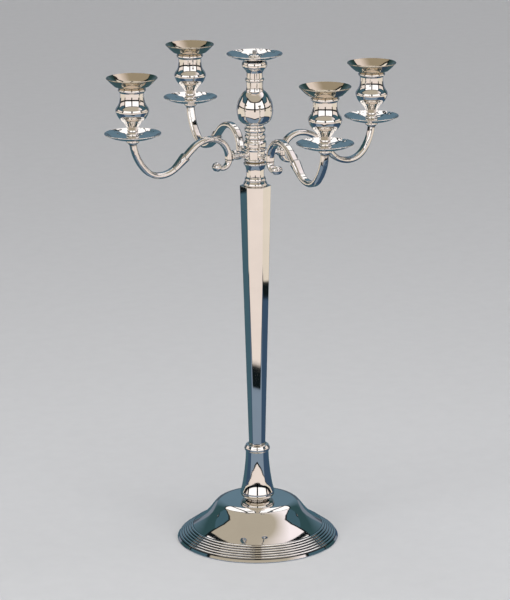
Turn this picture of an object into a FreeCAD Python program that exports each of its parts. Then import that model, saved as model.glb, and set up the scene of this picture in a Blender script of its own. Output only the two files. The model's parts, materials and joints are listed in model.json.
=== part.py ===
import FreeCAD, Part
import math
import os
import Sketcher

# A four-light plated candelabrum. Z is up, the origin is on the table under the middle of the foot,
# and the four arms lie along -X (left), +X (right), -Y (front) and +Y (back). All sizes are in mm.

ARMS = {"left": 180, "right": 0, "front": 270, "back": 90}

# Driving dimensions, by the alias that each has in the sheet.
SIZES = {
    # foot and stem levels
    "pad_radius": 94.0, "pad_thick": 1.2,
    "weight_radius": 78.0, "weight_thick": 8.0,
    "shell_thick": 1.6, "platform_level": 50.0,
    "rod_radius": 4.0, "rod_start": 36.0, "rod_end": 450.5, "rod_gap": 0.2,
    "nut_across": 13.0, "nut_thick": 6.5,
    "washer_radius": 12.0, "washer_thick": 1.6,
    "seat_ring_radius": 13.0, "seat_ring_thick": 1.2,
    # hexagonal shaft
    "shaft_start": 119.0, "shaft_end": 446.0,
    "shaft_low_radius": 10.4, "shaft_top_radius": 19.2, "shaft_wall": 1.5, "shaft_turn": 30.0,
    "low_plug_radius": 7.2, "low_plug_drop": 5.0, "low_plug_length": 14.0,
    "top_plug_radius": 14.6, "top_plug_thick": 6.0,
    # branch assembly
    "spigot_radius": 9.0, "pivot_radius": 6.0, "running_gap": 0.05,
    "hub_reach": 20.0, "bar_level": 484.0,
    "bar_radius": 3.0, "bar_start": 9.0, "bar_flange_radius": 4.8, "bar_flange_thick": 2.4,
    "bar_screw_radius": 1.8, "bar_screw_length": 4.0, "bar_gap": 0.02, "screw_end_gap": 0.2,
    "centre_rod_radius": 2.5, "centre_rod_start": 487.0, "centre_rod_end": 610.0,
    # arms
    "reach": 163.4, "bracket_reach": 36.2, "crest_level": 509.0, "bow_level": 472.5, "tip_level": 514.0,
    "bow_share": 0.77, "tail_drop": 0.5, "curl_lead": 2.0, "hole_lead": 1.0,
    "crest_inner": 25.0, "crest_outer": 36.0, "bow_inner": 33.0, "bow_low": 27.0, "bow_outer": 60.0,
    "tip_lean": 8.0, "curl_radius": 9.3, "curl_end": 300.0, "bracket_tail": 3.0,
    "arm_width": 10.4, "arm_thick": 7.0, "arm_bevel": 2.2,
    "knob_radius": 5.6, "knob_half_width": 6.6, "knob_out": 2.2, "knob_up": 1.2,
    "knuckle_grow": 1.35, "knuckle_start": 0.5,
    "left_droop": 0.0, "right_droop": 13.0, "front_droop": 0.0, "back_droop": 0.0,
    # stack on each arm's tip: tip collar, tray, cup collar, cup
    "tip_height": 4.2, "tray_floor": 1.3, "collar_height": 12.0, "centre_tray_level": 597.0,
    "screw_radius": 2.5, "thread_gap": 0.05, "screw_gap": 0.1, "tip_hole_depth": 9.0,
}

# Bores that several turned pieces share.
ROD_BORE = SIZES["rod_radius"] + SIZES["rod_gap"]
ROD_THREAD = SIZES["rod_radius"] + SIZES["thread_gap"]
CENTRE_THREAD = SIZES["centre_rod_radius"] + SIZES["thread_gap"]
TIP_THREAD = SIZES["screw_radius"] + SIZES["thread_gap"]
SCREW_BORE = SIZES["screw_radius"] + SIZES["screw_gap"]
SPIGOT = SIZES["spigot_radius"]
SPIGOT_BORE = SPIGOT + SIZES["running_gap"]
PIVOT = SIZES["pivot_radius"]
PIVOT_BORE = PIVOT + SIZES["running_gap"]
BEARING_BORE = PIVOT_BORE + SIZES["running_gap"]
PLATFORM = SIZES["platform_level"]
UNDER_PLATFORM = PLATFORM - SIZES["shell_thick"]
SEAT = PLATFORM + SIZES["seat_ring_thick"]
SHAFT_START = SIZES["shaft_start"]
PLUG_START = SHAFT_START - SIZES["low_plug_drop"]
PLUG_BORE = SIZES["low_plug_radius"] + SIZES["thread_gap"]
SHAFT_END = SIZES["shaft_end"]

# Half outlines of the turned pieces as (radius, level) points. A third number is the radius of the
# arc that arrives at the point: positive bulges to the right of the way travelled, negative to the left.
RIM_RADIUS = 99.4
RIB_COUNT = 6
RIB_LOW = (97.0, 4.2)
RIB_HIGH = (80.0, 16.4)
RIB_BULGE = 2.2


def rib_points():
    """The rounded ribs of the foot, evenly spaced up its slope."""
    points = []
    for step in range(1, RIB_COUNT + 1):
        share = step / RIB_COUNT
        radius = RIB_LOW[0] + (RIB_HIGH[0] - RIB_LOW[0]) * share
        level = RIB_LOW[1] + (RIB_HIGH[1] - RIB_LOW[1]) * share
        points.append((radius, level, RIB_BULGE))
    return points


OUTLINES = {
    # spun foot, outside then inside
    "foot": [(RIM_RADIUS - 2.0, 0.3), (RIM_RADIUS - 0.6, 0.3), (RIM_RADIUS, 1.2, 1.2), RIB_LOW]
            + rib_points() + [(79.2, 17.0), (57.6, 37.2, -70.0), (51.2, 45.1, 60.0),
             (38.0, PLATFORM, 20.4), (ROD_BORE, PLATFORM), (ROD_BORE, UNDER_PLATFORM),
             (38.0, UNDER_PLATFORM), (50.1, 43.9, -18.8), (56.3, 36.3, -58.4), (77.6, 15.4, 71.6),
             (94.6, 3.0)],
    # bell that holds the shaft, with its ringed collar
    "socket": [(ROD_BORE, SEAT), (14.5, SEAT), (21.1, 57.2, 7.0), (20.8, 60.2, 9.0), (18.0, 71.7, -70.0),
               (14.7, 97.2, -280.0), (14.0, 111.6, -250.0), (14.9, 112.6), (14.9, 117.4, 4.0),
               (14.2, 118.9), (13.6, 119.9), (11.6, 119.9), (11.6, SHAFT_START),
               (PLUG_BORE, SHAFT_START), (PLUG_BORE, PLUG_START), (ROD_BORE, PLUG_START)],
    # turned top of the stem, bored for the spigot
    "capital": [(ROD_THREAD, SHAFT_END), (14.2, SHAFT_END), (14.0, 449.6, 4.0), (12.6, 452.0),
                (12.4, 455.4, 4.0), (11.2, 457.2), (11.1, 466.0, -30.0), (12.4, 470.0, -12.0),
                (13.4, 471.8), (SPIGOT_BORE, 471.8), (SPIGOT_BORE, 451.2), (ROD_THREAD, 451.2)],
    "spigot": [(0.0, 451.6), (8.0, 451.6), (SPIGOT, 453.0), (SPIGOT, 471.85), (13.6, 471.85),
               (13.6, 474.4, 1.6), (11.6, 474.9), (PIVOT, 474.9), (PIVOT, 484.6), (5.2, 485.4),
               (0.0, 485.4)],
    "bearing": [(BEARING_BORE, 474.95), (11.4, 474.95), (11.4, 475.95), (BEARING_BORE, 475.95)],
    "hub": [(PIVOT_BORE, 476.0), (12.6, 476.0), (13.2, 478.2, 1.4), (12.2, 479.4), (12.2, 488.8),
            (13.3, 489.8), (13.3, 492.0, 1.6), (CENTRE_THREAD, 492.0), (CENTRE_THREAD, 486.0),
            (PIVOT_BORE, 486.0)],
    "rings": [(CENTRE_THREAD, 492.0), (12.0, 492.0), (13.6, 494.0), (13.6, 499.4, 12.0), (11.6, 501.4),
              (11.4, 502.4), (CENTRE_THREAD, 502.4)],
    "beads": [(CENTRE_THREAD, 502.4), (10.8, 502.4), (12.5, 505.6, 3.4), (10.6, 509.6, 3.6),
              (10.6, 511.0), (12.8, 514.2, 3.4), (11.0, 517.6, 3.4), (11.4, 521.4, -6.0),
              (CENTRE_THREAD, 521.4)],
    "bulb": [(CENTRE_THREAD, 521.4), (13.0, 521.4), (19.6, 526.8, 12.0), (21.8, 540.0, 27.0),
             (18.2, 552.6, 24.0), (12.4, 560.6, 22.0), (11.6, 561.2), (CENTRE_THREAD, 561.2)],
    "neck": [(CENTRE_THREAD, 561.2), (11.0, 561.2), (10.0, 566.6, -16.0), (10.3, 572.4),
             (11.3, 574.7, 2.2), (9.9, 576.9, 2.2), (9.6, 583.4), (CENTRE_THREAD, 583.4)],
    "bowl": [(CENTRE_THREAD, 583.4), (9.9, 583.4), (14.6, 589.6, -12.0), (15.0, 594.6, 8.0),
             (13.4, 597.0, 4.0), (CENTRE_THREAD, 597.0)],
    # tip collar of an arm, from the middle of the arm's end
    "tip": [(TIP_THREAD, 0.0), (5.2, 0.0), (7.4, 2.0, -4.0), (7.4, 4.2, 2.0), (TIP_THREAD, 4.2)],
    # drip tray: underside, rolled rim, then the dish
    "tray": [(SCREW_BORE, 0.0), (8.0, 0.0), (16.0, 2.2, -60.0), (27.0, 5.2, 90.0), (33.0, 8.0, -30.0),
             (33.3, 8.9, 0.7), (32.2, 9.0, 0.7), (26.6, 6.5, 30.0), (15.6, 3.4, -90.0), (8.6, 1.3, 60.0),
             (SCREW_BORE, 1.3)],
    # two-bead collar between tray and cup
    "collar": [(SCREW_BORE, 0.0), (8.2, 0.0), (8.2, 1.4, 1.0), (7.0, 2.6), (7.6, 5.2, 3.0),
               (6.4, 7.8, 3.0), (6.6, 9.6), (6.0, 12.0), (SCREW_BORE, 12.0)],
    # vase-shaped candle cup
    "cup": [(SCREW_BORE, 0.0), (6.6, 0.0), (7.4, 4.0, -20.0), (11.3, 9.2), (19.6, 21.4, 22.0),
            (18.4, 26.4, 6.0), (15.1, 32.6, -22.0), (14.3, 44.0, -40.0), (15.8, 45.4), (15.8, 48.6, 2.2),
            (14.9, 49.2), (12.65, 49.2), (12.65, 18.0), (9.0, 12.5), (6.0, 12.5), (6.0, 9.0),
            (SCREW_BORE, 9.0)],
    # loose liner with its wide flared rim
    "nozzle": [(0.0, 18.3), (11.6, 18.3), (12.6, 19.3), (12.6, 49.25), (15.4, 49.25), (20.6, 51.6, -12.0),
               (29.4, 60.0, 60.0), (30.0, 61.2, 1.0), (28.9, 61.4, 0.8), (20.0, 53.2, -60.0),
               (12.8, 50.2, 14.0), (11.5, 48.8, 3.0), (11.5, 19.5), (0.0, 19.5)],
    # pan-headed screw inside a cup, down through collar and tray into the arm's tip
    "screw": [(0.0, -21.5), (SIZES["screw_radius"], -21.5), (SIZES["screw_radius"], 9.0), (5.2, 9.0),
              (5.2, 10.4), (3.6, 12.0, 2.4), (0.0, 12.0)],
    # low collar on the centre tray
    "boss": [(SCREW_BORE, 0.0), (8.2, 0.0), (8.2, 1.4, 1.0), (7.0, 2.6), (7.4, 5.0, 2.6), (5.6, 6.6, 3.0),
             (SCREW_BORE, 6.6)],
}

doc = FreeCAD.newDocument("Candelabrum")
sheet = doc.addObject("Spreadsheet::Sheet", "Sizes")
row = 0


def store(alias, value):
    """Put one number into the sheet under its alias."""
    global row
    row += 1
    sheet.set("A%d" % row, alias)
    sheet.set("B%d" % row, repr(float(value)))
    sheet.setAlias("B%d" % row, alias)


def store_outline(name, points):
    for index, point in enumerate(points):
        store("%s_x_%d" % (name, index), point[0])
        store("%s_y_%d" % (name, index), point[1])
        if len(point) > 2:
            store("%s_arc_%d" % (name, index), abs(point[2]))


def plane(body, role):
    for feature in body.Origin.OriginFeatures:
        if feature.Role == role:
            return feature
    raise ValueError(role)


def new_body(label):
    body = doc.addObject("PartDesign::Body", "body_" + label)
    body.Label = label
    return body


def new_sketch(body, name, role, offset=None):
    sketch = body.newObject("Sketcher::SketchObject", name)
    sketch.AttachmentSupport = [(plane(body, role), "")]
    sketch.MapMode = "FlatFace"
    if offset is not None:
        sketch.AttachmentOffset = offset
    return sketch


def arc_middle(start, end, radius):
    """A point on the shorter arc: to the right of the way travelled if radius is positive."""
    chord = end - start
    half = chord.Length / 2
    size = max(abs(radius), half)
    rise = size - math.sqrt(size * size - half * half)
    side = FreeCAD.Vector(chord.y, -chord.x, 0).normalize()
    if radius < 0:
        side = side * -1
    return start + chord * 0.5 + side * rise


def pin_point(sketch, geometry, end, name, index):
    """Tie one end of a sketch edge to the sheet's point."""
    for kind, axis in (("DistanceX", "x"), ("DistanceY", "y")):
        vertex = sketch.getPoint(geometry, end)
        value = vertex.x if kind == "DistanceX" else vertex.y
        number = sketch.addConstraint(Sketcher.Constraint(kind, -1, 1, geometry, end, value))
        sketch.setExpression("Constraints[%d]" % number, "Sizes.%s_%s_%d" % (name, axis, index))


def draw(sketch, name, points, closed=True):
    """Draw an outline of lines and arcs whose points and radii are the sheet's."""
    count = len(points)
    ends = []
    for index in range(count if closed else count - 1):
        start = FreeCAD.Vector(points[index][0], points[index][1], 0)
        target = (index + 1) % count
        end = FreeCAD.Vector(points[target][0], points[target][1], 0)
        if len(points[target]) > 2:
            middle = arc_middle(start, end, points[target][2])
            edge = sketch.addGeometry(Part.Arc(start, middle, end), False)
            flipped = sketch.getPoint(edge, 1).distanceToPoint(start) > 1e-6
            radius = Sketcher.Constraint("Radius", edge, sketch.Geometry[edge].Radius)
            number = sketch.addConstraint(radius)
            sketch.setExpression("Constraints[%d]" % number, "Sizes.%s_arc_%d" % (name, target))
        else:
            edge = sketch.addGeometry(Part.LineSegment(start, end), False)
            flipped = False
        ends.append((edge, 2 if flipped else 1, 1 if flipped else 2))
    for index, (edge, first, last) in enumerate(ends):
        pin_point(sketch, edge, first, name, index)
        if closed or index + 1 < len(ends):
            other, other_first, unused = ends[(index + 1) % len(ends)]
            sketch.addConstraint(Sketcher.Constraint("Coincident", edge, last, other, other_first))
        else:
            pin_point(sketch, edge, last, name, index + 1)
    return ends


def place(body, angle=0.0, reach=None, level=None):
    """Put a body at an arm's angle and reach; reach and level are expressions of the sheet."""
    body.Placement = FreeCAD.Placement(FreeCAD.Vector(), FreeCAD.Rotation(FreeCAD.Vector(0, 0, 1), angle))
    if reach:
        body.setExpression("Placement.Base.x", "%s * cos(%g deg)" % (reach, angle))
        body.setExpression("Placement.Base.y", "%s * sin(%g deg)" % (reach, angle))
    if level:
        body.setExpression("Placement.Base.z", level)


def turn(body, name):
    """Revolve a stored outline about the body's own Z axis."""
    sketch = new_sketch(body, body.Label + "_outline", "XZ_Plane")
    draw(sketch, name, OUTLINES[name])
    feature = body.newObject("PartDesign::Revolution", body.Label + "_turned")
    feature.Profile = sketch
    feature.ReferenceAxis = (sketch, ["V_Axis"])
    feature.Angle = 360.0
    sketch.Visibility = False
    return feature


def turned(label, name, angle=0.0, reach=None, level=None):
    body = new_body(label)
    turn(body, name)
    place(body, angle, reach, level)
    return body


def cylinder(label, radius, start, length):
    """A plain round piece on the Z axis, sized by expressions of the sheet."""
    shape = doc.addObject("Part::Cylinder", label)
    shape.Label = label
    shape.setExpression("Radius", radius)
    shape.setExpression("Height", length)
    shape.setExpression("Placement.Base.z", start)
    return shape


def cut(label, base, tool):
    """Base less tool; base and tool become unlabelled steps of the piece."""
    result = doc.addObject("Part::Cut", label + "_cut")
    result.Base = base
    result.Tool = tool
    base.Label = label + "_blank"
    tool.Label = label + "_bore"
    result.Label = label
    return result


def ring(label, radius, bore, start, length):
    blank = cylinder(label + "_disc", radius, start, length)
    hole = cylinder(label + "_hole", bore, start, length)
    return cut(label, blank, hole)


def hexagon(sketch, radius):
    """Six sides round the sketch's origin, with a corner on each side of its X axis."""
    spin = FreeCAD.Rotation(FreeCAD.Vector(0, 0, 1), 60)
    corners = [FreeCAD.Vector(SIZES["shaft_top_radius"], 0, 0)]
    for unused in range(5):
        corners.append(spin.multVec(corners[-1]))
    for index in range(6):
        sketch.addGeometry(Part.LineSegment(corners[index], corners[(index + 1) % 6]), False)
    for index in range(6):
        sketch.addConstraint(Sketcher.Constraint("Coincident", index, 2, (index + 1) % 6, 1))
        for kind, function, value in (("DistanceX", "cos", corners[index].x),
                                      ("DistanceY", "sin", corners[index].y)):
            number = sketch.addConstraint(Sketcher.Constraint(kind, -1, 1, index, 1, value))
            corner = "%s * %s(%d deg)" % (radius, function, 60 * index)
            sketch.setExpression("Constraints[%d]" % number, corner)


def hex_loft(body, kind, low_radius, top_radius):
    """A hexagonal taper between the two ends of the shaft."""
    sketches = []
    for end, radius in (("start", low_radius), ("end", top_radius)):
        sketch = new_sketch(body, "shaft_%s_%s" % (kind, end), "XY_Plane")
        sketch.setExpression("AttachmentOffset.Base.z", "Sizes.shaft_" + end)
        hexagon(sketch, radius)
        sketches.append(sketch)
    loft = body.newObject("PartDesign::%sLoft" % kind, "shaft_" + kind)
    loft.Profile = sketches[0]
    loft.Sections = [sketches[1]]
    loft.Ruled = True


def build_shaft():
    """The hollow hexagonal shaft, turned so that its flats face the left and right arms."""
    body = new_body("stem_shaft")
    hex_loft(body, "Additive", "Sizes.shaft_low_radius", "Sizes.shaft_top_radius")
    wall = "Sizes.shaft_wall / cos(30 deg)"
    hex_loft(body, "Subtractive", "(Sizes.shaft_low_radius - %s)" % wall,
             "(Sizes.shaft_top_radius - %s)" % wall)
    place(body, SIZES["shaft_turn"])


def arm_path(droop):
    """Points and arcs of an arm's middle line, in its own X (reach) and Y (level).

    Five arcs touch each other smoothly: up and over the crest, down the bow and up to the tip. A
    drooping arm is the same casting bent down, so its later levels fall in step with their reach.
    """
    start_x = SIZES["bracket_reach"]
    bar = SIZES["bar_level"]
    reach = SIZES["reach"]
    crest_x = start_x + SIZES["crest_inner"]
    crest = SIZES["crest_level"] - droop * crest_x / reach
    outer = SIZES["crest_outer"]
    inner_bow = SIZES["bow_inner"]
    low_bow = SIZES["bow_low"]
    outer_bow = SIZES["bow_outer"]
    lean = math.radians(SIZES["tip_lean"])
    tip = FreeCAD.Vector(reach, SIZES["tip_level"] - droop, 0)
    outer_centre = tip + FreeCAD.Vector(-math.cos(lean), math.sin(lean), 0) * outer_bow
    bow = SIZES["bow_level"] - droop * SIZES["bow_share"]
    drop = outer_centre.y - (bow + low_bow)
    low_x = outer_centre.x + math.sqrt((outer_bow - low_bow) ** 2 - drop ** 2)
    low_centre = FreeCAD.Vector(low_x, bow + low_bow, 0)
    join = outer_centre + (low_centre - outer_centre).normalize() * outer_bow
    crest_centre = FreeCAD.Vector(crest_x, crest - outer, 0)
    bow_centre = FreeCAD.Vector(low_x, bow + inner_bow, 0)
    between = bow_centre - crest_centre
    turn_angle = math.atan2(between.y, between.x)
    turn_angle += math.acos((outer + inner_bow) / between.Length)
    away = FreeCAD.Vector(math.cos(turn_angle), math.sin(turn_angle), 0)
    leave = crest_centre + away * outer
    arrive = bow_centre - away * inner_bow
    first = crest - SIZES["crest_inner"]
    tail = min(bar - SIZES["bracket_tail"], first - SIZES["tail_drop"])
    return [(start_x, tail), (start_x, first),
            (crest_x, crest, -SIZES["crest_inner"]), (leave.x, leave.y, -outer), (arrive.x, arrive.y),
            (low_x, bow, inner_bow), (join.x, join.y, low_bow), (tip.x, tip.y, outer_bow)]


def curl_path():
    """The scroll below the bracket: down, round and out to the knob."""
    centre_x = SIZES["bracket_reach"] + SIZES["curl_radius"]
    centre_y = SIZES["bar_level"] - SIZES["bracket_tail"]
    angle = math.radians(SIZES["curl_end"])
    end_x = centre_x + SIZES["curl_radius"] * math.cos(angle)
    end_y = centre_y + SIZES["curl_radius"] * math.sin(angle)
    start = (SIZES["bracket_reach"], SIZES["bar_level"] + SIZES["curl_lead"])
    low = (centre_x, centre_y - SIZES["curl_radius"], SIZES["curl_radius"])
    return [start, (SIZES["bracket_reach"], centre_y), low, (end_x, end_y, SIZES["curl_radius"])]


def section_points(grow=1.0):
    """The arm's bevelled cross-section: X is its thickness and Y its width."""
    half_thick = SIZES["arm_thick"] / 2 * grow
    half_width = SIZES["arm_width"] / 2 * grow
    bevel = SIZES["arm_bevel"] * grow
    corner = [(half_thick, half_width - bevel), (half_thick - bevel, half_width)]
    points = []
    for side_x, side_y in ((1, 1), (-1, 1), (-1, -1), (1, -1)):
        pair = [(x * side_x, y * side_y) for x, y in corner]
        if side_x * side_y < 0:
            pair.reverse()
        points.extend(pair)
    return points


def pipe(body, name, path_name, path):
    """Carry the arm's section along a path that starts straight up or down."""
    spine = new_sketch(body, name + "_path", "XZ_Plane")
    draw(spine, path_name, path, closed=False)
    section = new_sketch(body, name + "_section", "XY_Plane")
    section.setExpression("AttachmentOffset.Base.x", "Sizes.%s_x_0" % path_name)
    section.setExpression("AttachmentOffset.Base.z", "Sizes.%s_y_0" % path_name)
    draw(section, "section", section_points())
    feature = body.newObject("PartDesign::AdditivePipe", name + "_pipe")
    feature.Profile = section
    feature.Spine = (spine, [])
    feature.Mode = "Standard"
    return feature


def build_knuckle(body, label, path):
    """The leaf-shaped thickening half way down the arm's straight run, widest at its upper lip."""
    leave = FreeCAD.Vector(path[3][0], path[3][1], 0)
    arrive = FreeCAD.Vector(path[4][0], path[4][1], 0)
    run = arrive - leave
    slope = math.degrees(math.atan2(run.x, run.y))
    sketches = []
    for share, name in ((SIZES["knuckle_start"], "knuckle"), (1.0, "section")):
        point = leave + run * share
        offset = FreeCAD.Placement(FreeCAD.Vector(point.x, 0, point.y),
                                   FreeCAD.Rotation(FreeCAD.Vector(0, 1, 0), slope))
        sketch = new_sketch(body, "%s_%s" % (label, name), "XY_Plane", offset)
        draw(sketch, name, section_points(SIZES["knuckle_grow"] if name == "knuckle" else 1.0))
        sketches.append(sketch)
    loft = body.newObject("PartDesign::AdditiveLoft", label + "_leaf")
    loft.Profile = sketches[0]
    loft.Sections = [sketches[1]]
    loft.Ruled = True


def build_arm(side, angle):
    """One cast arm: scroll, curl with its knob, leaf knuckle and the collar at the tip."""
    label = "arm_" + side
    body = new_body(label)
    path = arm_path(SIZES[side + "_droop"])
    pipe(body, label + "_scroll", label, path)
    pipe(body, label + "_curl", "curl", curl_path())
    build_knuckle(body, label, path)
    knob = body.newObject("PartDesign::AdditiveEllipsoid", label + "_knob")
    knob.setExpression("Radius1", "Sizes.knob_half_width")
    knob.setExpression("Radius2", "Sizes.knob_radius")
    knob.setExpression("Radius3", "Sizes.knob_radius")
    end = curl_path()[-1]
    knob.AttachmentSupport = [(plane(body, "XY_Plane"), "")]
    knob.MapMode = "FlatFace"
    centre = FreeCAD.Vector(end[0] + SIZES["knob_out"], 0, end[1] + SIZES["knob_up"])
    knob.AttachmentOffset = FreeCAD.Placement(centre, FreeCAD.Rotation(FreeCAD.Vector(1, 0, 0), 90))
    drill_bracket(body, label)
    build_tip(body, label, side)
    place(body, angle)
    return body


def drill_bracket(body, label):
    """The hole that takes the bar's screw end."""
    sketch = new_sketch(body, label + "_screw_hole", "YZ_Plane")
    inner_face = "Sizes.bracket_reach - Sizes.arm_thick / 2"
    sketch.setExpression("AttachmentOffset.Base.z", inner_face + " - Sizes.hole_lead")
    circle = sketch.addGeometry(Part.Circle(FreeCAD.Vector(0, SIZES["bar_level"], 0),
                                            FreeCAD.Vector(0, 0, 1), SIZES["bar_screw_radius"]), False)
    radius = "Sizes.bar_screw_radius + Sizes.thread_gap"
    fix_circle(sketch, circle, radius, "DistanceY", "Sizes.bar_level")
    hole = body.newObject("PartDesign::Pocket", label + "_hole")
    hole.Profile = sketch
    hole.Reversed = True
    hole.setExpression("Length", "Sizes.bar_screw_length + Sizes.hole_lead + Sizes.screw_end_gap")


def build_tip(body, label, side):
    """The turned collar on the arm's end, and the screw hole down its middle."""
    reach = SIZES["reach"]
    level = SIZES["tip_level"] - SIZES[side + "_droop"]
    collar = [(point[0] + reach, point[1] + level, *point[2:]) for point in OUTLINES["tip"]]
    solid = [(reach, collar[0][1])] + collar[1:-1] + [(reach, collar[-1][1])]
    store_outline(label + "_tip", solid)
    sketch = new_sketch(body, label + "_tip_outline", "XZ_Plane")
    ends = draw(sketch, label + "_tip", solid)
    feature = body.newObject("PartDesign::Revolution", label + "_tip_turned")
    feature.Profile = sketch
    feature.ReferenceAxis = (sketch, ["Edge%d" % len(ends)])
    feature.Angle = 360.0
    bore = new_sketch(body, label + "_bore", "XY_Plane")
    bore.setExpression("AttachmentOffset.Base.z", "Sizes.%s_tip_y_%d" % (label, len(solid) - 1))
    circle = bore.addGeometry(Part.Circle(FreeCAD.Vector(SIZES["reach"], 0, 0),
                                          FreeCAD.Vector(0, 0, 1), SIZES["screw_radius"]), False)
    fix_circle(bore, circle, "Sizes.screw_radius + Sizes.thread_gap", "DistanceX", "Sizes.reach")
    pocket = body.newObject("PartDesign::Pocket", label + "_tip_hole")
    pocket.Profile = bore
    pocket.setExpression("Length", "Sizes.tip_hole_depth")


def fix_circle(sketch, circle, radius, kind, distance):
    """Hold a circle on the sketch's X or Y axis at a distance, with a radius, both from the sheet."""
    axis = -1 if kind == "DistanceX" else -2
    centre = sketch.getPoint(circle, 3)
    start = centre.x if kind == "DistanceX" else centre.y
    sketch.addConstraint(Sketcher.Constraint("PointOnObject", circle, 3, axis))
    number = sketch.addConstraint(Sketcher.Constraint(kind, -1, 1, circle, 3, start))
    sketch.setExpression("Constraints[%d]" % number, distance)
    size = Sketcher.Constraint("Radius", circle, sketch.Geometry[circle].Radius)
    number = sketch.addConstraint(size)
    sketch.setExpression("Constraints[%d]" % number, radius)


def build_nut():
    """A hexagonal nut under the platform washer."""
    base = "Sizes.platform_level - Sizes.shell_thick - Sizes.washer_thick - Sizes.nut_thick"
    prism = doc.addObject("Part::Prism", "tie_rod_nut_hex")
    prism.Polygon = 6
    prism.setExpression("Circumradius", "Sizes.nut_across / 2 / cos(30 deg)")
    prism.setExpression("Height", "Sizes.nut_thick")
    prism.setExpression("Placement.Base.z", base)
    hole = cylinder("tie_rod_nut_hole", "Sizes.rod_radius", base, "Sizes.nut_thick")
    cut("tie_rod_nut", prism, hole)


def build_low_plug():
    """The round plug that centres the shaft's lower end in the bell."""
    ring("shaft_lower_plug", "Sizes.low_plug_radius", "Sizes.rod_radius + Sizes.rod_gap",
         "Sizes.shaft_start - Sizes.low_plug_drop", "Sizes.low_plug_length")


def build_hub():
    """The turned hub, with a side hole for each bar."""
    body = turned("branch_hub", "hub")
    sketch = new_sketch(body, "branch_hub_side_hole", "YZ_Plane")
    circle = sketch.addGeometry(Part.Circle(FreeCAD.Vector(0, SIZES["bar_level"], 0),
                                            FreeCAD.Vector(0, 0, 1), SIZES["bar_radius"]), False)
    fix_circle(sketch, circle, "Sizes.bar_radius + Sizes.bar_gap", "DistanceY", "Sizes.bar_level")
    hole = body.newObject("PartDesign::Pocket", "branch_hub_hole")
    hole.Profile = sketch
    hole.Reversed = True
    hole.setExpression("Length", "Sizes.hub_reach")
    around = body.newObject("PartDesign::PolarPattern", "branch_hub_holes")
    around.Originals = [hole]
    around.Axis = (plane(body, "Z_Axis"), [""])
    around.Angle = 360.0
    around.Occurrences = len(ARMS)
    body.Tip = around
    return body


def bar_points():
    """Half outline of a bar along X: round, with an end flange against the bracket and a screw end."""
    face = SIZES["bracket_reach"] - SIZES["arm_thick"] / 2
    flange = face - SIZES["bar_flange_thick"]
    end = face + SIZES["bar_screw_length"]
    return [(SIZES["bar_start"], 0.0), (SIZES["bar_start"], SIZES["bar_radius"]),
            (flange - 1.2, SIZES["bar_radius"]), (flange, SIZES["bar_flange_radius"] - 0.6, -1.8),
            (face - 0.4, SIZES["bar_flange_radius"], 1.6), (face, SIZES["bar_flange_radius"] - 0.5),
            (face, SIZES["bar_screw_radius"]), (end, SIZES["bar_screw_radius"]), (end, 0.0)]


def build_bar(side, angle):
    """A round bar from the hub to an arm's bracket."""
    body = new_body("arm_bar_" + side)
    sketch = new_sketch(body, body.Label + "_outline", "XZ_Plane")
    draw(sketch, "bar", bar_points())
    feature = body.newObject("PartDesign::Revolution", body.Label + "_turned")
    feature.Profile = sketch
    feature.ReferenceAxis = (sketch, ["H_Axis"])
    feature.Angle = 360.0
    place(body, angle, level="Sizes.bar_level")


def is_piece(item):
    """A sub-part is a body, or a solid that no other object is made from."""
    if item.TypeId == "PartDesign::Body":
        return True
    return item.TypeId.startswith("Part::") and not item.InList


for alias, value in SIZES.items():
    store(alias, value)
for name, points in OUTLINES.items():
    store_outline(name, points)
for side in ARMS:
    store_outline("arm_" + side, arm_path(SIZES[side + "_droop"]))
store_outline("bar", bar_points())
store_outline("curl", curl_path())
store_outline("section", section_points())
store_outline("knuckle", section_points(SIZES["knuckle_grow"]))
doc.recompute()

# Stand: everything that stays on the table.
pad_top = "Sizes.pad_thick"
cylinder("base_pad", "Sizes.pad_radius", "0", pad_top)
cylinder("base_weight", "Sizes.weight_radius", pad_top, "Sizes.weight_thick")
turned("base_shell", "foot")
under_platform = "Sizes.platform_level - Sizes.shell_thick - Sizes.washer_thick"
ring("tie_rod_washer", "Sizes.washer_radius", "Sizes.rod_radius + Sizes.rod_gap", under_platform,
     "Sizes.washer_thick")
build_nut()
ring("stem_seat_ring", "Sizes.seat_ring_radius", "Sizes.rod_radius + Sizes.rod_gap",
     "Sizes.platform_level", "Sizes.seat_ring_thick")
turned("stem_socket", "socket")
build_low_plug()
build_shaft()
ring("shaft_upper_plug", "Sizes.top_plug_radius", "Sizes.rod_radius + Sizes.rod_gap",
     "Sizes.shaft_end - Sizes.top_plug_thick", "Sizes.top_plug_thick")
turned("stem_capital", "capital")
cylinder("tie_rod", "Sizes.rod_radius", "Sizes.rod_start", "Sizes.rod_end - Sizes.rod_start")

# Spigot: lifts out of the capital with everything above it.
turned("branch_spigot", "spigot")
turned("pivot_bearing", "bearing")

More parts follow.
